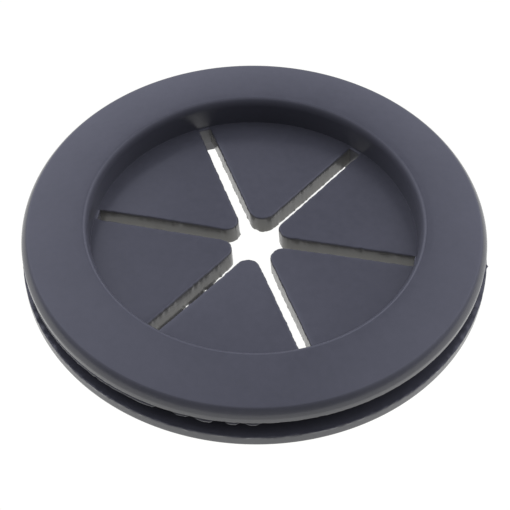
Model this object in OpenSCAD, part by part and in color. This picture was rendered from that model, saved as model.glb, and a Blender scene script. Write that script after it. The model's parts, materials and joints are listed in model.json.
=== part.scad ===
// Flexible cable grommet for a round hole in a desk top or panel.
// One rubber moulding: two flanges with a panel groove between them, a recessed web inside, and the
// web cut by radial slits into six flaps that bend to let cables through.
// Millimetres. Origin at the centre of the underside, +Z up through the hole.

/* [Flanges] */
// Outer diameter of the top flange
flange_d = 80; // [78:0.5:90]
// Outer diameter of the lower flange
lower_flange_d = 81; // [78:0.5:90]
// Thickness of the top flange at its rim
top_rim_t = 2.8; // [2.2:0.1:4]
// Thickness of the lower flange at its rim
lower_rim_t = 2.4; // [1.2:0.1:3]
// Rise of the top face from its rim to the recess
crown_h = 0.7; // [0.2:0.1:1.5]
// Rise of the sloping underside, from the hub up to the lower rim
lead_in_h = 2.6; // [1:0.1:3.5]
// Radius of the upper edge of the top rim
rim_fillet = 1.4; // [0.3:0.1:1.6]
// Radius of the lower edge of the lower rim
lower_rim_fillet = 0.6; // [0.2:0.1:0.8]

/* [Panel groove] */
// Diameter of the neck at the bottom of the groove, for a 64 mm hole
neck_d = 63.8; // [62:0.1:66]
// Width of the groove that takes the edge of the panel
groove_w = 3.4; // [2.5:0.1:5]

/* [Recess and web] */
// Diameter of the recess
recess_d = 57.6; // [57:0.1:58.5]
// Radius of the recess's upper edge
lip_fillet = 1; // [0.5:0.1:1.2]
// Depth from the top of the lip to the web
recess_depth = 5.6; // [4:0.1:6.2]
// Thickness of the web and of its flaps
web_t = 3.7; // [2.4:0.1:3.8]

/* [Slits and flaps] */
// Width of each slit
slit_w = 2; // [1.5:0.1:3.2]
// Distance from the centre to the outer end of each slit
slit_reach = 28.3; // [27.6:0.1:28.4]
// Radius of each flap's tip
tip_r = 2.34; // [1:0.02:3]
// Distance from the centre to the line about which a flap bends
bend_reach = 23.5; // [22:0.1:23.8]
// Largest bend of a flap, up or down
bend_max = 60; // [30:1:65]
// Radial clearance round a flap's root
root_clearance = 0.05; // [0.02:0.01:0.1]

/* [Hidden] */
$fn = 96;

flap_count = 6;
half_sector = 180 / flap_count;

flange_r = flange_d / 2;
lower_flange_r = lower_flange_d / 2;
neck_r = neck_d / 2;
recess_r = recess_d / 2;

lower_rim_z = lead_in_h;
groove_z = lower_rim_z + lower_rim_t;
top_flange_z = groove_z + groove_w;
rim_top_z = top_flange_z + top_rim_t;
top_z = rim_top_z + crown_h;
web_top_z = top_z - recess_depth;
web_z = web_top_z - web_t;
web_mid_z = web_z + web_t / 2;

root_r = web_t / 2;
socket_r = root_r + root_clearance;
cut_margin = 0.5;

// Centres of the two edge fillets, and the slope of the top face that touches both
rim_c = [flange_r - rim_fillet, rim_top_z - rim_fillet];
lip_c = [recess_r + lip_fillet, top_z - lip_fillet];
top_run = rim_c - lip_c;
top_tilt = asin((lip_fillet - rim_fillet) / norm(top_run)) - atan2(top_run[1], top_run[0]);
top_normal = [sin(top_tilt), cos(top_tilt)];

// Centre of the lower rim's fillet, and the slope of the underside that touches it
lower_c = [lower_flange_r - lower_rim_fillet, lower_rim_z + lower_rim_fillet];
under_run = lower_c - [neck_r, 0];
under_tilt = atan2(under_run[1], under_run[0]) - asin(lower_rim_fillet / norm(under_run));
under_normal = [sin(under_tilt), -cos(under_tilt)];

// Flap outline: the side edges run beside the slits and meet the tip's arc
tip_x = slit_w + 2 * tip_r;
tip_side = tip_r * [-sin(half_sector), cos(half_sector)];
root_half_w = bend_reach * tan(half_sector) - slit_w / 2 / cos(half_sector);

// Half-section of the whole ring without its web: right is outward, up is up
module ring_section() {
    polygon([
        [recess_r, 0],
        [neck_r, 0],
        lower_c + lower_rim_fillet * under_normal,
        [lower_flange_r, lower_c[1]],
        [lower_flange_r, groove_z],
        [neck_r, groove_z],
        [neck_r, top_flange_z],
        [flange_r, top_flange_z],
        [flange_r, rim_c[1]],
        rim_c + rim_fillet * top_normal,
        lip_c + lip_fillet * top_normal,
        [recess_r, lip_c[1]]
    ]);
    translate(rim_c) circle(r = rim_fillet);
    translate(lip_c) circle(r = lip_fillet);
    translate(lower_c) circle(r = lower_rim_fillet);
}

// The part of the ring between two radii and two heights
module ring_zone(r_in, r_out, z_low, z_high) {
    rotate_extrude() intersection() {
        ring_section();
        translate([r_in, z_low]) square([r_out - r_in, z_high - z_low]);
    }
}

// Extrudes a shape drawn in a flap's side view, X inward to outward and Y up, across the flap's width
module across_flap(width) {
    translate([0, width / 2, 0]) rotate([90, 0, 0]) linear_extrude(width) children();
}

// Room that a flap needs as it bends both ways: round at the root, flared by the bend's limits
module bend_room_section() {
    room_h = web_t / 2 + cut_margin;
    side = socket_r * [sin(bend_max), cos(bend_max)];
    mouth_x = side[0] - (room_h - side[1]) / tan(bend_max);
    translate([bend_reach, web_mid_z]) {
        circle(r = socket_r);
        polygon([
            [-bend_reach, -room_h],
            [mouth_x, -room_h],
            [side[0], -side[1]],
            side,
            [mouth_x, room_h],
            [-bend_reach, room_h]
        ]);
    }
}

// One flap's share of the web's opening, pointing along +X
module bend_room() {
    reach = bend_reach + web_t;
    intersection() {
        across_flap(2 * reach) bend_room_section();
        linear_extrude(top_z) polygon([
            [0, 0],
            [reach, -reach * tan(half_sector)],
            [reach, reach * tan(half_sector)]
        ]);
        cylinder(r = slit_reach, h = top_z);
    }
}

module top_flange() {
    color([0.33, 0.33, 0.37])
        ring_zone(neck_r, flange_r + 1, top_flange_z, top_z + 1);
}

module neck() {
    color([0.31, 0.31, 0.35])
        ring_zone(recess_r - 1, neck_r, -1, top_z + 1);
}

module lower_flange() {
    color([0.33, 0.33, 0.36])
        ring_zone(neck_r, lower_flange_r + 1, -1, groove_z);
}

// Uncut edge of the web: slit ends all round, and a socket along each flap's root
module web_margin() {
    color([0.29, 0.29, 0.33])
        difference() {
            translate([0, 0, web_z]) cylinder(r = recess_r, h = web_t);
            for (i = [0 : flap_count - 1]) {
                rotate(2 * half_sector * i)
                    translate([0, -slit_w / 2, web_z - cut_margin])
                        cube([slit_reach, slit_w, web_t + 2 * cut_margin]);
                rotate(half_sector * (2 * i + 1)) bend_room();
            }
        }
}

// One flap with its tip towards the centre and its root at the given angle
module flap_at(angle) {
    color([0.3, 0.3, 0.34])
        rotate(angle) intersection() {
            across_flap(2 * root_half_w) translate([0, web_mid_z]) {
                translate([0, -web_t / 2]) square([bend_reach, web_t]);
                translate([bend_reach, 0]) circle(r = root_r);
            }
            translate([0, 0, web_z - cut_margin]) linear_extrude(web_t + 2 * cut_margin) {
                translate([tip_x, 0]) circle(r = tip_r);
                polygon([
                    [tip_x + tip_side[0], -tip_side[1]],
                    [bend_reach, -root_half_w],
                    [bend_reach + web_t, -root_half_w],
                    [bend_reach + web_t, root_half_w],
                    [bend_reach, root_half_w],
                    [tip_x + tip_side[0], tip_side[1]]
                ]);
            }
        }
}

module flap_rear() { flap_at(90); }
module flap_rear_right() { flap_at(30); }
module flap_front_right() { flap_at(-30); }
module flap_front() { flap_at(-90); }
module flap_front_left() { flap_at(-150); }
module flap_rear_left() { flap_at(150); }

top_flange();
neck();
lower_flange();
web_margin();
flap_rear();
flap_rear_right();
flap_front_right();
flap_front();
flap_front_left();
flap_rear_left();
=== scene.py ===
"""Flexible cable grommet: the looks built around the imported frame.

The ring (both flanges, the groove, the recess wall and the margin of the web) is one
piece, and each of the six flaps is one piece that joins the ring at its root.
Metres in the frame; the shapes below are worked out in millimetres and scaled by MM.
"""
import json
import math

import bmesh
import bpy
from mathutils import Matrix, Vector, noise


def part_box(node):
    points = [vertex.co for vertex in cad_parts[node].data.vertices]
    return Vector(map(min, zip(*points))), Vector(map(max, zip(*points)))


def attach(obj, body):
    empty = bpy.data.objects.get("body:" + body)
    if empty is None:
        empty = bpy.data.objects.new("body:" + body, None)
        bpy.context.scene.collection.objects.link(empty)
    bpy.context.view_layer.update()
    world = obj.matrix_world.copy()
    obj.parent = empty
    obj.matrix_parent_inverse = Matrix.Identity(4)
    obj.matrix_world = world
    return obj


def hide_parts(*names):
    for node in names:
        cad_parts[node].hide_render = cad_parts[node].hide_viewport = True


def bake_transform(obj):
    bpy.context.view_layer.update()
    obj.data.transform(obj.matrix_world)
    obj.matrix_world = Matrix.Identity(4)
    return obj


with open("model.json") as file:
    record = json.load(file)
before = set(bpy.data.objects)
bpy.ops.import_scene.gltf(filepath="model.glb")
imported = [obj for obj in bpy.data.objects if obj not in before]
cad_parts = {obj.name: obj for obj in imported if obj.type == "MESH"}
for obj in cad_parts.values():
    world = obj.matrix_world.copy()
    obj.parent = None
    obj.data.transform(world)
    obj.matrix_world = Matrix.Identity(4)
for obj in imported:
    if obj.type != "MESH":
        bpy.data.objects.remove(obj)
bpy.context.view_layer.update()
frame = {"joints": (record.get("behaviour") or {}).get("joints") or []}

MM = 0.001


def node_mm(name):
    """Lowest and highest corner of a CAD node, in millimetres."""
    low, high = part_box(name)
    return low / MM, high / MM


# ---- Sizes, from the frame -------------------------------------------------------------------------------
top_low, top_high = node_mm("top_flange")
_, lower_high = node_mm("lower_flange")
_, neck_high = node_mm("neck")
web_low, web_high = node_mm("web_margin")
flap_low, flap_high = node_mm("flap_rear")
joints = {joint["child"]: joint for joint in frame["joints"]}
bend_at = Vector(joints["flap_rear"]["pos_m"]) / MM

# How far the moulding itself departs from the frame's sizes, in millimetres
FLANGE_OVERSIZE = 0.1
RECESS_UNDERSIZE = 0.25

FLANGE_R = top_high.x + FLANGE_OVERSIZE
LOWER_R = lower_high.x
NECK_R = neck_high.x
RECESS_R = web_high.x - RECESS_UNDERSIZE
TOP_Z = neck_high.z
GROOVE_TOP_Z = top_low.z
GROOVE_LOW_Z = lower_high.z
WEB_TOP_Z = web_high.z
WEB_LOW_Z = web_low.z
TIP_X = flap_low.y
HALF_SECTOR = math.radians(30)
SLIT_HALF = bend_at.y * math.sin(HALF_SECTOR) - flap_high.x * math.cos(HALF_SECTOR)
SHARP_DEG = 50

# ---- Shapes of the ring, in millimetres --------------------------------------------------------------------
RIM_T = 2.8
CROWN = TOP_Z - GROOVE_TOP_Z - RIM_T
# Half of the top face's fall follows each of these powers of the way out to the rim
CONE_POWER = 1.15
CROWN_POWER = 2.1
RIM_ROUND_W = 1.2
RIM_ROUND_H = 1.8
RIM_ROUND_POWER = 1.4
RIM_LOW_EDGE = 0.1
LIP_ROUND_W = 1.0
LIP_ROUND_POWER = 1.8
LIP_ROUND_H = 1.5
LIP_SHELF_W = 1.0
FOOT_FILLET = 0.08
LOWER_RIM_T = 2.4
LOWER_FILLET = 0.6
LOWER_EDGE = 0.15
# The lower flange's sideways shift, which sets in from just past the neck to just short of the rim
LOWER_SHIFT = 0.15
LOWER_SHIFT_AZIMUTH = 10
SHIFT_PAST_NECK = 0.6
SHIFT_SHORT_OF_RIM = 2
UNDER_EDGE = 0.3
GROOVE_FILLET = 0.5
LEDGE_R = 28.1
LEDGE_EDGE = 0.25
LEDGE_INSET = 0.02
RING_STEPS = 720
TOP_FACE_STEPS = 36
ROUND_STEPS = 16

# ---- Shapes of the flaps, in millimetres -------------------------------------------------------------------
FLAP_EDGE = 0.35
FLAP_LOWER_EDGE = 0.15
# Least share of the two edges' rounding, where the flap joins the ring
LEAST_EDGE = 0.06
LEAST_LOWER_EDGE = 0.1
# The rounding fades over this stretch before and past the end of the slit
FADE_BEFORE = 0.7
FADE_PAST = 0.3
FLAP_ROOT_R = RECESS_R + 0.1
FLAP_COLUMNS = 22
TIP_STEPS = 18
SIDE_STEPS = 130
ROOT_STEPS = 16
TOP_EDGE_STEPS = 6
WALL_STEPS = 10
LOW_EDGE_STEPS = 3
TIP_R = (TIP_X - SLIT_HALF / math.sin(HALF_SECTOR)) / (1 / math.sin(HALF_SECTOR) - 1)
CHORD_R = LEDGE_R * math.cos(HALF_SECTOR)
# First row of a flap's side, counted from its top face, that is a cut face
CUT_FROM_ROW = 4


# ---- Small helpers -----------------------------------------------------------------------------------------
def smooth(low, high, value):
    """0 below low, 1 above high, and a smooth step between them."""
    t = min(1.0, max(0.0, (value - low) / (high - low)))
    return t * t * (3 - 2 * t)


def heading(azimuth):
    """Unit vector in the plane at an azimuth in radians."""
    return Vector((math.cos(azimuth), math.sin(azimuth)))


def ragged(position, scale, seed):
    """Signed noise, about -1 to 1, at a place in millimetres."""
    return noise.fractal(Vector(position) * scale + Vector((seed, 2.3 * seed, 0)), 0.7, 2.1, 3)


def wander(position, size, scale, seed):
    """Signed noise of a given size, at a place in millimetres."""
    return size * ragged(position, scale, seed)


def arc(centre, radius, start, end, count):
    """Points on an arc in a half-section, angles in degrees, both ends included."""
    points = []
    for i in range(count + 1):
        a = math.radians(start + (end - start) * i / count)
        points.append((centre[0] + radius * math.cos(a), centre[1] + radius * math.sin(a)))
    return points


def line(start, end, count):
    """Points on a straight stretch in a section or in space, both ends left out."""
    return [
        tuple(a + (b - a) * i / count for a, b in zip(start, end))
        for i in range(1, count)
    ]


def mesh_piece(name, verts, faces, cuts=()):
    """A closed, smooth-shaded mesh object whose creases stay sharp.
    cuts marks each vertex on a cut face with 1."""
    mesh = bpy.data.meshes.new(name)
    mesh.from_pydata([Vector(v) * MM for v in verts], [], faces)
    if cuts:
        mesh.attributes.new("cut", "FLOAT", "POINT").data.foreach_set("value", cuts)
    piece = bpy.data.objects.new(name, mesh)
    bpy.context.scene.collection.objects.link(piece)
    merge_and_orient(mesh)
    mesh.shade_smooth()
    mesh.set_sharp_from_angle(angle=math.radians(SHARP_DEG))
    return piece


def merge_and_orient(mesh):
    """Joins vertices that lie on each other, drops empty faces and turns every face outward."""
    bm = bmesh.new()
    bm.from_mesh(mesh)
    bmesh.ops.remove_doubles(bm, verts=bm.verts, dist=1e-3 * MM)
    bmesh.ops.dissolve_degenerate(bm, edges=bm.edges, dist=1e-4 * MM)
    bmesh.ops.recalc_face_normals(bm, faces=bm.faces)
    bm.to_mesh(mesh)
    bm.free()


# ---- The ring ----------------------------------------------------------------------------------------------
def rounded(centre, width, height, power, start, end, count):
    """Points on a rounding that is wider or tighter than an arc, angles in degrees."""
    points = []
    for i in range(count + 1):
        a = math.radians(start + (end - start) * i / count)
        cos, sin = math.cos(a), math.sin(a)
        outward = math.copysign(abs(cos) ** (2 / power), cos) * width
        points.append((centre[0] + outward, centre[1] + abs(sin) ** (2 / power) * height))
    return points


def top_face():
    """The top face from the rim's rounding in to the lip's: a shallow cone that levels off at the recess."""
    rim_x = FLANGE_R - RIM_ROUND_W
    lip_x = RECESS_R + LIP_ROUND_W
    shelf_x = lip_x + LIP_SHELF_W
    points = []
    for i in range(1, TOP_FACE_STEPS):
        x = rim_x + (lip_x - rim_x) * i / TOP_FACE_STEPS
        t = max(0.0, (x - shelf_x) / (rim_x - shelf_x))
        points.append((x, TOP_Z - CROWN * (0.5 * t**CONE_POWER + 0.5 * t**CROWN_POWER)))
    return points


def lower_outline():
    """Half-section from the inner edge of the underside, round the lower rim and in to the neck."""
    lower_z = GROOVE_LOW_Z - LOWER_RIM_T
    lower_c = (LOWER_R - LOWER_FILLET, lower_z + LOWER_FILLET)
    run = Vector(lower_c) - Vector((NECK_R, 0))
    under_deg = math.degrees(math.atan2(run[1], run[0]) - math.asin(LOWER_FILLET / run.length)) - 90
    under = arc(lower_c, LOWER_FILLET, under_deg, 0, 8)
    edge_c = (LOWER_R - LOWER_EDGE, GROOVE_LOW_Z - LOWER_EDGE)
    groove_x = NECK_R + GROOVE_FILLET
    outline = arc((RECESS_R + UNDER_EDGE, UNDER_EDGE), UNDER_EDGE, 180, 270, 4)
    outline += line((RECESS_R + UNDER_EDGE, 0), (NECK_R, 0), 5) + [(NECK_R, 0)]
    outline += line((NECK_R, 0), under[0], 12) + under
    outline += line((LOWER_R, lower_c[1]), (LOWER_R, edge_c[1]), 4)
    outline += arc(edge_c, LOWER_EDGE, 0, 90, 4)
    outline += line((edge_c[0], GROOVE_LOW_Z), (groove_x, GROOVE_LOW_Z), 8)
    outline += arc((groove_x, GROOVE_LOW_Z + GROOVE_FILLET), GROOVE_FILLET, 270, 180, 5)
    return outline


def upper_outline():
    """Half-section from the neck out under the top flange, over its rim and top face and round the lip.
    A point of the flash has a third number, its share of the flash's drop."""
    groove_x = NECK_R + GROOVE_FILLET
    flash_r = FLANGE_R - FLASH_SET_BACK
    rim_c = (FLANGE_R - RIM_ROUND_W, TOP_Z - CROWN - RIM_ROUND_H)
    lip_c = (RECESS_R + LIP_ROUND_W, TOP_Z - LIP_ROUND_H)
    rim_low_z = GROOVE_TOP_Z + RIM_LOW_EDGE
    outline = arc((groove_x, GROOVE_TOP_Z - GROOVE_FILLET), GROOVE_FILLET, 180, 90, 5)
    outline += line((groove_x, GROOVE_TOP_Z), (flash_r - FLASH_W, GROOVE_TOP_Z), 6)
    outline += [(flash_r + outward, GROOVE_TOP_Z, hang) for outward, hang in FLASH_SECTION]
    outline += arc((FLANGE_R - RIM_LOW_EDGE, rim_low_z), RIM_LOW_EDGE, 300, 360, 2)
    outline += line((FLANGE_R, rim_low_z), (FLANGE_R, rim_c[1]), 6)
    outline += rounded(rim_c, RIM_ROUND_W, RIM_ROUND_H, RIM_ROUND_POWER, 0, 90, ROUND_STEPS)
    outline += top_face()
    outline += rounded(lip_c, LIP_ROUND_W, LIP_ROUND_H, LIP_ROUND_POWER, 90, 180, ROUND_STEPS)
    return outline


def inner_outline():
    """Half-section from the lip down the recess wall, round the margin of the web and on to the underside."""
    ledge_top, ledge_low = WEB_TOP_Z - LEDGE_INSET, WEB_LOW_Z + LEDGE_INSET
    foot_x = RECESS_R - FOOT_FILLET
    foot_z, low_foot_z = ledge_top + FOOT_FILLET, ledge_low - FOOT_FILLET
    outline = line((RECESS_R, TOP_Z - LIP_ROUND_H), (RECESS_R, foot_z), 8)
    outline += arc((foot_x, foot_z), FOOT_FILLET, 360, 270, 6)
    outline += arc((LEDGE_R + LEDGE_EDGE, ledge_top - LEDGE_EDGE), LEDGE_EDGE, 90, 180, 4)
    outline += line((LEDGE_R, ledge_top - LEDGE_EDGE), (LEDGE_R, ledge_low), 8)
    outline += [(LEDGE_R, ledge_low)]
    outline += arc((foot_x, low_foot_z), FOOT_FILLET, 90, 0, 6)
    outline += line((RECESS_R, low_foot_z), (RECESS_R, UNDER_EDGE), 4)
    return outline


def ring_outline():
    """Closed half-section of the ring, counter-clockwise: (radius, height, share of the flash's drop)."""
    return [(*point, 0)[:3] for point in lower_outline() + upper_outline() + inner_outline()]


# Section of the flash under the top rim: distance outward, and share of the flash's drop
FLASH_SECTION = (
    (-0.55, 0), (-0.42, 0.6), (-0.2, 1), (-0.04, 1), (0, 0.9),
    (0, 0.68), (-0.05, 0.6), (-0.35, 0.5), (-0.12, 0),
)
FLASH_SET_BACK = 0.05
FLASH_W = 0.5
# Each stretch of flash: first and last azimuth in degrees, and drop in millimetres
FLASH = ((216, 258, 0.7), (262, 266, 0.6), (267, 271.5, 0.8), (274, 277.5, 0.75), (278.5, 282, 0.75))
# What is left of the flash all round the rim, in millimetres
FLASH_LEAST = 0.03
# Each scrap on the lower rim: azimuth in degrees, and how far it stands out in millimetres
SCRAPS = ((3, 0.35), (10, 0.2))
SCRAP_HALF_DEG = 0.7
# Unevenness: its size in millimetres (for FLASH_UNEVEN a share of the drop), waves to a millimetre, and seed
FLASH_UNEVEN = (0.25, 0.9, 4.0)
FLASH_FRINGE = (0.04, 1.7, 9.0)
LOWER_RIM_OUT = (0.08, 0.9, 17.0)
LOWER_RIM_UP = (0.12, 1.2, 23.0)
TOP_RIM_UP = (0.09, 1.3, 29.0)


def flash_drop(azimuth, x, y):
    """How far the flash hangs from the rim of the top flange at an azimuth in degrees."""
    drop = 0.0
    for first, last, length in FLASH:
        drop = max(drop, length * smooth(first, first + 1, azimuth) * (1 - smooth(last - 1, last, azimuth)))
    return drop * (1 + wander((x, y, 0), *FLASH_UNEVEN)) + FLASH_LEAST + wander((x, y, 0), *FLASH_FRINGE)


def scrap(azimuth):
    """How far the scraps on the lower rim stand out at an azimuth in degrees."""
    reach = 0.0
    for at, size in SCRAPS:
        away = abs((azimuth - at + 180) % 360 - 180)
        reach = max(reach, size * (1 - away / SCRAP_HALF_DEG))
    return reach


def ring_piece():
    """The ring as a revolved outline, with its flash and the ragged edges of both rims."""
    outline = ring_outline()
    count = len(outline)
    verts = []
    shift_a = math.radians(LOWER_SHIFT_AZIMUTH)
    for step in range(RING_STEPS):
        azimuth = 360 * step / RING_STEPS
        cos, sin = math.cos(math.radians(azimuth)), math.sin(math.radians(azimuth))
        drop = flash_drop(azimuth, FLANGE_R * cos, FLANGE_R * sin)
        for r, z, hang in outline:
            at = (r * cos, r * sin, z)
            on_lower_rim = abs(z - GROOVE_LOW_Z) < 0.1 and r > LOWER_R - 0.3
            on_top_rim = abs(z - GROOVE_TOP_Z) < 0.12 and r > FLANGE_R - 0.2
            if on_lower_rim:
                r += wander(at, *LOWER_RIM_OUT) + scrap(azimuth)
                z += wander(at, *LOWER_RIM_UP)
            elif on_top_rim:
                z += wander(at, *TOP_RIM_UP)
            z -= hang * drop
            shift = 0
            if z < GROOVE_LOW_Z + 0.3:
                shift = LOWER_SHIFT * smooth(NECK_R + SHIFT_PAST_NECK, LOWER_R - SHIFT_SHORT_OF_RIM, r)
            verts.append((r * cos + shift * math.cos(shift_a), r * sin + shift * math.sin(shift_a), z))
    faces = []
    for step in range(RING_STEPS):
        a = step * count
        b = (step + 1) % RING_STEPS * count
        for i in range(count):
            j = (i + 1) % count
            faces.append((a + i, b + i, b + j, a + j))
    return mesh_piece("ring_moulding", verts, faces)


# ---- The flaps ---------------------------------------------------------------------------------------------
def flap_half_outline(growth, tip_growth):
    """Half of a flap's outline from its tip to the middle of its root, pointing out along +X.
    The side stands growth millimetres beyond its nominal place, and the tip tip_growth.
    Each entry is (point, outward normal, softness of the edge)."""
    tip_c = Vector((TIP_X + TIP_R, 0))
    normal = heading(HALF_SECTOR + math.pi / 2)
    along = heading(HALF_SECTOR)
    rows = []
    for i in range(TIP_STEPS):
        n = heading(math.pi - (math.pi / 2 - HALF_SECTOR) * i / TIP_STEPS)
        grown = tip_growth + (growth - tip_growth) * smooth(0, TIP_STEPS, i)
        rows.append((tip_c + (TIP_R + grown) * n, n, 1.0))
    start = tip_c + (TIP_R + growth) * normal
    ahead = start.dot(along)

    def reach_to(radius):
        """Length of the straight side from its start out to a distance from the centre."""
        return math.sqrt(ahead**2 - start.length_squared + radius**2) - ahead

    reach, slit_end = reach_to(FLAP_ROOT_R), reach_to(LEDGE_R)
    for i in range(SIDE_STEPS):
        s = reach * i / SIDE_STEPS
        softness = 1 - smooth(slit_end - FADE_BEFORE, slit_end + FADE_PAST, s)
        rows.append((start + s * along, normal, softness))
    corner = start + reach * along
    corner_a = math.atan2(corner.y, corner.x)
    for i in range(ROOT_STEPS + 1):
        n = heading(corner_a * (1 - i / ROOT_STEPS))
        rows.append((FLAP_ROOT_R * n, n, 0.0))
    return rows


def edge_profile():
    """Side of a flap from its top face to its lower face: (inward offset, part, level along the part)."""
    profile = [(1, "top", 0)]
    for i in range(1, TOP_EDGE_STEPS + 1):
        a = math.radians(90 * i / TOP_EDGE_STEPS)
        profile.append((1 - math.sin(a), "top", 1 - math.cos(a)))
    for i in range(1, WALL_STEPS):
        profile.append((0, "side", i / WALL_STEPS))
    for i in range(LOW_EDGE_STEPS):
        a = math.radians(90 * i / LOW_EDGE_STEPS)
        profile.append((1 - math.cos(a), "low", 1 - math.sin(a)))
    return profile + [(1, "low", 0)]


# Each slit as cut: azimuth, width and sideways drift of the cut, counter-clockwise, in millimetres
SLITS = {
    0: (2.2, -0.25),
    60: (2.3, -0.4),
    120: (2.1, 0.05),
    180: (2.15, 0.15),
    240: (2.1, 0.2),
    300: (2.1, -0.1),
}
# Azimuth of the slit that a thin film of rubber narrows below, the film's width and its unevenness (size in
# millimetres, waves to a millimetre, and seed), and the distances from the centre between which it sets in
FILM_SLIT = 240
FILM_W = 0.3
FILM_UNEVEN = (0.15, 1.2, 51.0)
FILM_FROM_R = 9
FILM_FULL_R = 11
# How far a cut leans over the web's thickness in millimetres, and towards which azimuth
CUT_SLANT = 0.28
CUT_SLANT_AZIMUTH = math.radians(10)
# Raggedness of the top and lower edges of a cut: size in millimetres and waves to a millimetre
CUT_TOP = (0.09, 1.0)
CUT_LOW = (0.11, 0.9)
CUT_LOW_SEED = 40
# Powers of the depth by which the top edge's raggedness dies out, and the lower edge's and the film set in
TOP_FADE_POWER = 3
LOW_ONSET_POWER = 6
FILM_ONSET_POWER = 30
# Bites and scraps: noise past this level, either way, times these depths
NOTCH_WAVES = 0.5
NOTCH_SEED = 11
NOTCH_LEVEL = 0.4
NOTCH_SCRAP = 0.5
NOTCH_BITE = 0.6
# A flap's own bending: power of the way in from its root, width that rolls by one unit, and waviness
LIFT_POWER = 1.15
ROLL_SPAN = 6
WAVINESS = 0.03
WAVINESS_WAVES = 0.12


def side_growth(azimuth, side):
    """How far a flap's side stands beyond its nominal place, because of the cut beside it."""
    width, drift = SLITS[(azimuth + 30 * side) % 360]
    return SLIT_HALF - width / 2 + side * drift


def notch(at, seed):
    """A rare bite out of a slit's edge or a scrap of film left on it, in millimetres."""
    n = ragged(at, NOTCH_WAVES, seed + NOTCH_SEED)
    return NOTCH_SCRAP * max(0.0, n - NOTCH_LEVEL) - NOTCH_BITE * max(0.0, -n - NOTCH_LEVEL)


def flap_column(entry, profile, side, seed, has_film):
    """Points down one side of a flap, from its top face to its lower face, at one entry of its outline."""
    point, normal, soft = entry
    at = (point.x, point.y * side, 0)
    rough_top = soft * wander(at, *CUT_TOP, seed)
    low_seed = seed + CUT_LOW_SEED
    rough_low = soft * (wander(at, *CUT_LOW, low_seed) + notch(at, low_seed))
    film = 0
    if has_film:
        film = soft * smooth(FILM_FROM_R, FILM_FULL_R, point.length) * (FILM_W + wander(at, *FILM_UNEVEN))
    edge = FLAP_EDGE * max(LEAST_EDGE, soft)
    low = FLAP_LOWER_EDGE * max(LEAST_LOWER_EDGE, soft)
    wall = WEB_TOP_Z - WEB_LOW_Z - edge - low
    column = []
    for inward, part, level in profile:
        if part == "top":
            offset, z, rough = edge * inward, WEB_TOP_Z - edge * level, rough_top
        elif part == "side":
            offset, z = 0, WEB_TOP_Z - edge - wall * level
            fading = rough_top * (1 - level) ** TOP_FADE_POWER + rough_low * level**LOW_ONSET_POWER
            rough = fading + film * level**FILM_ONSET_POWER
        else:
            offset, z, rough = low * inward, WEB_LOW_Z + low * level, rough_low + film
        p = point - normal * (offset - rough)
        column.append((p.x, p.y * side, z))
    return column


def flap_piece(name, azimuth, seed, lift, roll):
    """One flap: a wedge of the web with soft, slightly ragged edges, lifted and rolled a bit at its tip."""
    turn = Matrix.Rotation(math.radians(azimuth), 2)

    def place(x, y, z):
        """A point of the flap in the frame, with the flap's own lift, roll and faint waviness."""
        slant = CUT_SLANT * (WEB_TOP_Z - z) / (WEB_TOP_Z - WEB_LOW_Z)
        p = turn @ Vector((x, y)) + slant * heading(CUT_SLANT_AZIMUTH)
        free = max(0.0, (CHORD_R - x) / (CHORD_R - TIP_X)) ** LIFT_POWER
        waves = WAVINESS * free * ragged((p.x, p.y, 0), WAVINESS_WAVES, seed)
        return (p.x, p.y, z + (free * lift + free * roll * y / ROLL_SPAN + waves))

    profile = edge_profile()
    growth = {side: side_growth(azimuth, side) for side in (1, -1)}
    mean_growth = (growth[1] + growth[-1]) / 2
    rows = {side: flap_half_outline(growth[side], mean_growth) for side in (1, -1)}
    film_beside = (azimuth + 30) % 360 == FILM_SLIT
    loops = []
    for left_entry, right_entry in zip(rows[1], rows[-1]):
        left = flap_column(left_entry, profile, 1, seed + 5, film_beside)
        right = flap_column(right_entry, profile, -1, seed - 5, False)
        loop = [left[0]] + line(left[0], right[0], FLAP_COLUMNS)
        loop += right + line(right[-1], left[-1], FLAP_COLUMNS)
        loop += left[:0:-1]
        loops.append([place(*p) for p in loop])
    count = len(loops[0])
    verts = [p for loop in loops for p in loop]
    # Marks the cut faces of the slit walls, which the material paints paler as painted light
    cut_rows = range(CUT_FROM_ROW, len(profile) - 1)
    walls = {FLAP_COLUMNS + row for row in cut_rows} | {count - row for row in cut_rows}
    cuts = [float(v % count in walls) for v in range(len(verts))]
    faces = []
    for a in range(0, len(verts) - count, count):
        for j in range(count):
            k = (j + 1) % count
            faces.append((a + j, a + k, a + count + k, a + count + j))
    return mesh_piece(name, verts, faces, cuts)


# ---- Materials ---------------------------------------------------------------------------------------------
RUBBER_DARK = (0.082, 0.083, 0.092, 1)
RUBBER_PALE = (0.097, 0.097, 0.107, 1)
# Paler, warmer colour of the slit walls: painted light, standing in for the glow of the white table on them
PAINTED_CUT_LIGHT = (0.15, 0.147, 0.135, 1)
TABLE_COLOUR = (1.0, 1.0, 0.985, 1)
TABLE_GLOW = 1.03
# Noise textures: scale in waves to a metre, and detail
CLOUDS = (90, 4)
SPECKS = (900, 3)
GRAIN = (3000, 1)
# The middle range of a noise, which is spread over the whole range of what it steers
NOISE_MIDDLE = (0.3, 0.7)
SPECK_SHARE = 0.35
CLOUD_SHARE = 0.65
ROUGHNESS = (0.2, 0.26)
# Added to the roughness of the recess wall, between these pairs of distances from the axis in millimetres
WALL_DULLNESS = 0.2
WALL_INNER = (28.4, 28.7)
WALL_OUTER = (28.9, 29.4)
# Bumps: strength, and depth in millimetres
GRAIN_BUMP = (0.06, 0.03)
SPECK_BUMP = (0.1, 0.08)


def new_material(name):
    """An empty node material: itself, its nodes, its links and its output node."""
    material = bpy.data.materials.new(name)
    material.use_nodes = True
    nodes = material.node_tree.nodes
    nodes.clear()
    out = nodes.new("ShaderNodeOutputMaterial")
    return material, nodes, material.node_tree.links, out


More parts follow.
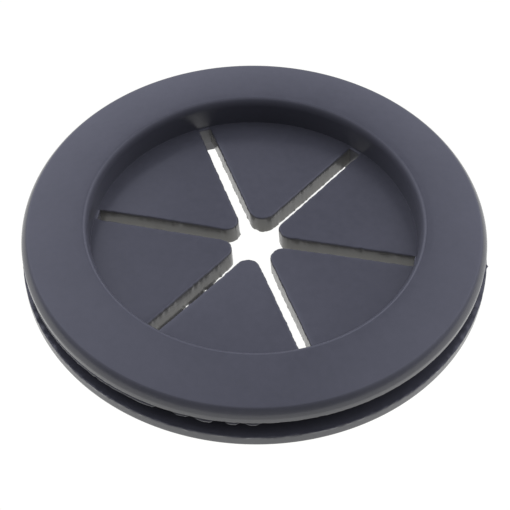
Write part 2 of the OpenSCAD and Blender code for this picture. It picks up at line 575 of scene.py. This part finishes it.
def noise_node(nodes, links, vector, scale, detail):
    """Noise over a position, about 0 to 1."""
    texture = nodes.new("ShaderNodeTexNoise")
    texture.inputs["Scale"].default_value = scale
    texture.inputs["Detail"].default_value = detail
    texture.inputs["Roughness"].default_value = 0.55
    links.new(vector, texture.inputs["Vector"])
    return texture.outputs["Fac"]


def map_range(nodes, links, value, low, high, to_low, to_high):
    """A value carried from one range to another, and held at its ends."""
    node = nodes.new("ShaderNodeMapRange")
    for key, number in (("From Min", low), ("From Max", high), ("To Min", to_low), ("To Max", to_high)):
        node.inputs[key].default_value = number
    links.new(value, node.inputs["Value"])
    return node.outputs["Result"]


def math_node(nodes, links, operation, *values):
    """Arithmetic on inputs that are each a socket or a number."""
    node = nodes.new("ShaderNodeMath")
    node.operation = operation
    for socket, value in zip(node.inputs, values):
        if isinstance(value, (int, float)):
            socket.default_value = value
        else:
            links.new(value, socket)
    return node.outputs["Value"]


def bump_node(nodes, links, height, strength, depth):
    """A bump of a given strength, and depth in millimetres."""
    bump = nodes.new("ShaderNodeBump")
    bump.inputs["Strength"].default_value = strength
    bump.inputs["Distance"].default_value = depth * MM
    links.new(height, bump.inputs["Height"])
    return bump


def rubber_colour(nodes, links, clouds, specks):
    """Cloudy black, with the cut faces painted paler and warmer: painted light from the white table below."""
    ramp = nodes.new("ShaderNodeValToRGB")
    for element, position, colour in zip(ramp.color_ramp.elements, NOISE_MIDDLE, (RUBBER_DARK, RUBBER_PALE)):
        element.position = position
        element.color = colour
    cloudiness = map_range(nodes, links, clouds, 0, 1, 0, CLOUD_SHARE)
    links.new(math_node(nodes, links, "MULTIPLY_ADD", specks, SPECK_SHARE, cloudiness), ramp.inputs["Fac"])
    # The cut faces get the painted glow of the table's light
    cut = nodes.new("ShaderNodeAttribute")
    cut.attribute_name = "cut"
    lit_cut_colour = nodes.new("ShaderNodeMix")
    lit_cut_colour.data_type = "RGBA"
    lit_cut_colour.inputs["B"].default_value = PAINTED_CUT_LIGHT
    links.new(cut.outputs["Fac"], lit_cut_colour.inputs["Factor"])
    links.new(ramp.outputs["Color"], lit_cut_colour.inputs["A"])
    return lit_cut_colour.outputs["Result"]


def rubber_roughness(nodes, links, place, specks):
    """Uneven gloss. The moulded wall of the recess is duller than the flat faces."""
    flat = nodes.new("ShaderNodeVectorMath")
    flat.operation = "MULTIPLY"
    flat.inputs[1].default_value = (1, 1, 0)
    links.new(place, flat.inputs[0])
    radius = nodes.new("ShaderNodeVectorMath")
    radius.operation = "LENGTH"
    links.new(flat.outputs["Vector"], radius.inputs[0])
    from_axis = radius.outputs["Value"]
    wall = map_range(nodes, links, from_axis, WALL_INNER[0] * MM, WALL_INNER[1] * MM, 0, 1)
    lip = map_range(nodes, links, from_axis, WALL_OUTER[0] * MM, WALL_OUTER[1] * MM, WALL_DULLNESS, 0)
    gloss = map_range(nodes, links, specks, *NOISE_MIDDLE, *ROUGHNESS)
    return math_node(nodes, links, "MULTIPLY_ADD", wall, lip, gloss)


def rubber_material():
    """Black rubber with a faint bloom: cloudy colour, uneven gloss, a fine grain, and cut faces painted paler
    as painted light from the table.
    """
    material, nodes, links, out = new_material("moulded_rubber")
    shader = nodes.new("ShaderNodeBsdfPrincipled")
    shader.inputs["IOR"].default_value = 1.5
    place = nodes.new("ShaderNodeTexCoord").outputs["Object"]
    clouds = noise_node(nodes, links, place, *CLOUDS)
    specks = noise_node(nodes, links, place, *SPECKS)
    grain = noise_node(nodes, links, place, *GRAIN)
    fine = bump_node(nodes, links, grain, *GRAIN_BUMP)
    broad = bump_node(nodes, links, specks, *SPECK_BUMP)
    links.new(fine.outputs["Normal"], broad.inputs["Normal"])
    links.new(rubber_colour(nodes, links, clouds, specks), shader.inputs["Base Color"])
    links.new(rubber_roughness(nodes, links, place, specks), shader.inputs["Roughness"])
    links.new(broad.outputs["Normal"], shader.inputs["Normal"])
    links.new(shader.outputs["BSDF"], out.inputs["Surface"])
    return material


def table_material():
    """A back-lit white table: even light from below, as in a packshot."""
    material, nodes, links, out = new_material("lit_table")
    glow = nodes.new("ShaderNodeEmission")
    glow.inputs["Color"].default_value = TABLE_COLOUR
    glow.inputs["Strength"].default_value = TABLE_GLOW
    links.new(glow.outputs["Emission"], out.inputs["Surface"])
    return material


# ---- Building the object -----------------------------------------------------------------------------------
rubber = rubber_material()

ring = ring_piece()
ring.data.materials.append(rubber)
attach(ring, "ring")
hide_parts("top_flange", "neck", "lower_flange", "web_margin")

# Each flap: azimuth in degrees, lift of its tip in millimetres, and roll across its width
FLAPS = {
    "flap_rear": (90, 0.2, 0.1),
    "flap_rear_right": (30, 0.0, 0.0),
    "flap_front_right": (-30, -0.3, 0.3),
    "flap_front": (-90, -0.8, 0.4),
    "flap_front_left": (-150, -0.5, 0.0),
    "flap_rear_left": (150, -0.5, 0.4),
}
# Each flap's own lift and roll set in at the chord between the ends of its slits and grow out to its tip
for index, (body, (azimuth, lift, roll)) in enumerate(FLAPS.items()):
    flap = flap_piece(body + "_rubber", azimuth, 3.7 * index + 1, lift, roll)
    flap.data.materials.append(rubber)
    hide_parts(body)
    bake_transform(flap)

# ---- Table, light and camera -------------------------------------------------------------------------------
TABLE_HALF_W = 3.0
# The viewpoint: distance in metres, its direction from the object, and the camera's own turns
CAMERA_DISTANCE = 0.230
CAMERA_AZIMUTH = math.radians(-79.85)
CAMERA_ELEVATION = math.radians(48.40)
CAMERA_PITCH = math.radians(49.81)
CAMERA_YAW = math.radians(0.055)
CAMERA_ROLL = math.radians(0.695)
CAMERA_LENS = 93.9
# How far below the top of the ring the viewpoint turns about, in millimetres
AIM_BELOW_TOP = 1.86
STUDIO_BACK = math.radians(96)
STUDIO_TINT = (0.92, 0.94, 1.16)
# Each light: its brightness by turn away from the back, and by height above the horizon, in degrees
LIGHTS = {
    "wash": (
        ((0, 0.7), (40, 1.0), (90, 0.4), (135, 0.0)),
        ((-1, 0.0), (0, 1.0), (25, 1.4), (45, 0.0)),
    ),
    "banks": (
        ((0, 0.1), (12, 0.83), (45, 1.52), (90, 1.05), (135, 0.3), (180, 0.0)),
        ((20, 0.0), (45, 1.0), (90, 0.0)),
    ),
    "ceiling": (
        ((0, 0.75), (90, 1.0), (180, 1.0)),
        ((45, 0.0), (65, 0.36), (90, 0.55)),
    ),
    "front": (
        ((110, 0.0), (180, 0.25)),
        ((-5, 0.0), (3, 1.0), (12, 0.6), (22, 0.0), (45, 0.0), (60, 0.7)),
    ),
}


def table():
    """A wide flat table under the grommet."""
    size = TABLE_HALF_W
    mesh = bpy.data.meshes.new("table")
    corners = [(-size, -size, 0), (size, -size, 0), (size, size, 0), (-size, size, 0)]
    mesh.from_pydata(corners, [], [(0, 1, 2, 3)])
    mesh.materials.append(table_material())
    piece = bpy.data.objects.new("table", mesh)
    bpy.context.scene.collection.objects.link(piece)


def ramp_node(nodes, links, value, stops):
    """Brightness that runs straight from stop to stop: each stop is (degrees, brightness).
    The value that picks it is a share of a half turn."""
    ramp = nodes.new("ShaderNodeValToRGB")
    elements = ramp.color_ramp.elements
    while len(elements) < len(stops):
        elements.new(0.5)
    for element, (degrees, level) in zip(elements, stops):
        element.position = degrees / 180
        element.color = (level, level, level, 1)
    links.new(value, ramp.inputs["Fac"])
    return ramp.outputs["Color"]


def studio_light():
    """Soft studio surround: a white wash behind the table, a bank of light high on each side, a dim ceiling,
    and a faint glow on the camera's side."""
    world = bpy.data.worlds.new("studio")
    bpy.context.scene.world = world
    world.use_nodes = True
    nodes, links = world.node_tree.nodes, world.node_tree.links
    nodes.clear()
    direction = nodes.new("ShaderNodeTexCoord").outputs["Generated"]
    parts = nodes.new("ShaderNodeSeparateXYZ")
    links.new(direction, parts.inputs[0])
    toward = nodes.new("ShaderNodeVectorMath")
    toward.operation = "DOT_PRODUCT"
    toward.inputs[1].default_value = heading(STUDIO_BACK).to_3d()
    links.new(direction, toward.inputs[0])

    # Height above the horizon and turn away from the back, each as a share of a half turn
    height = math_node(nodes, links, "ARCSINE", parts.outputs["Z"], 0)
    height = math_node(nodes, links, "DIVIDE", height, math.pi)
    level = math_node(nodes, links, "COSINE", math_node(nodes, links, "MULTIPLY", height, math.pi), 0)
    turn = math_node(nodes, links, "DIVIDE", toward.outputs["Value"], level)
    turn = math_node(nodes, links, "MAXIMUM", math_node(nodes, links, "MINIMUM", turn, 1), -1)
    turn = math_node(nodes, links, "DIVIDE", math_node(nodes, links, "ARCCOSINE", turn, 0), math.pi)

    total = None
    for by_turn, by_height in LIGHTS.values():
        around = ramp_node(nodes, links, turn, by_turn)
        upward = ramp_node(nodes, links, height, by_height)
        light = math_node(nodes, links, "MULTIPLY", around, upward)
        total = light if total is None else math_node(nodes, links, "ADD", total, light)
    tint = nodes.new("ShaderNodeVectorMath")
    tint.operation = "SCALE"
    tint.inputs[0].default_value = STUDIO_TINT
    links.new(total, tint.inputs["Scale"])
    sky = nodes.new("ShaderNodeBackground")
    links.new(tint.outputs["Vector"], sky.inputs["Color"])
    out = nodes.new("ShaderNodeOutputWorld")
    links.new(sky.outputs["Background"], out.inputs["Surface"])


def camera():
    """The viewpoint: from the front and above, looking at the middle of the recess."""
    back = heading(CAMERA_AZIMUTH).to_3d()
    side = Vector((-back.y, back.x, 0))
    up = Vector((0, 0, 1))
    target = Vector((0, 0, (TOP_Z - AIM_BELOW_TOP) * MM))
    data = bpy.data.cameras.new("camera")
    data.sensor_width = 36
    data.lens = CAMERA_LENS
    data.clip_start, data.clip_end = 0.01, 20
    piece = bpy.data.objects.new("camera", data)
    bpy.context.scene.collection.objects.link(piece)
    bpy.context.scene.camera = piece
    level = side * math.sin(CAMERA_YAW) - back * math.cos(CAMERA_YAW)
    forward = level * math.cos(CAMERA_PITCH) - up * math.sin(CAMERA_PITCH)
    right = forward.cross(up).normalized()
    over = right.cross(forward)
    right, over = (
        right * math.cos(CAMERA_ROLL) + over * math.sin(CAMERA_ROLL),
        over * math.cos(CAMERA_ROLL) - right * math.sin(CAMERA_ROLL),
    )
    axes = Matrix((right, over, -forward)).transposed()
    away = back * math.cos(CAMERA_ELEVATION) + up * math.sin(CAMERA_ELEVATION)
    piece.matrix_world = Matrix.Translation(target + CAMERA_DISTANCE * away) @ axes.to_4x4()


table()
studio_light()
camera()
bpy.context.scene.view_settings.view_transform = "Standard"
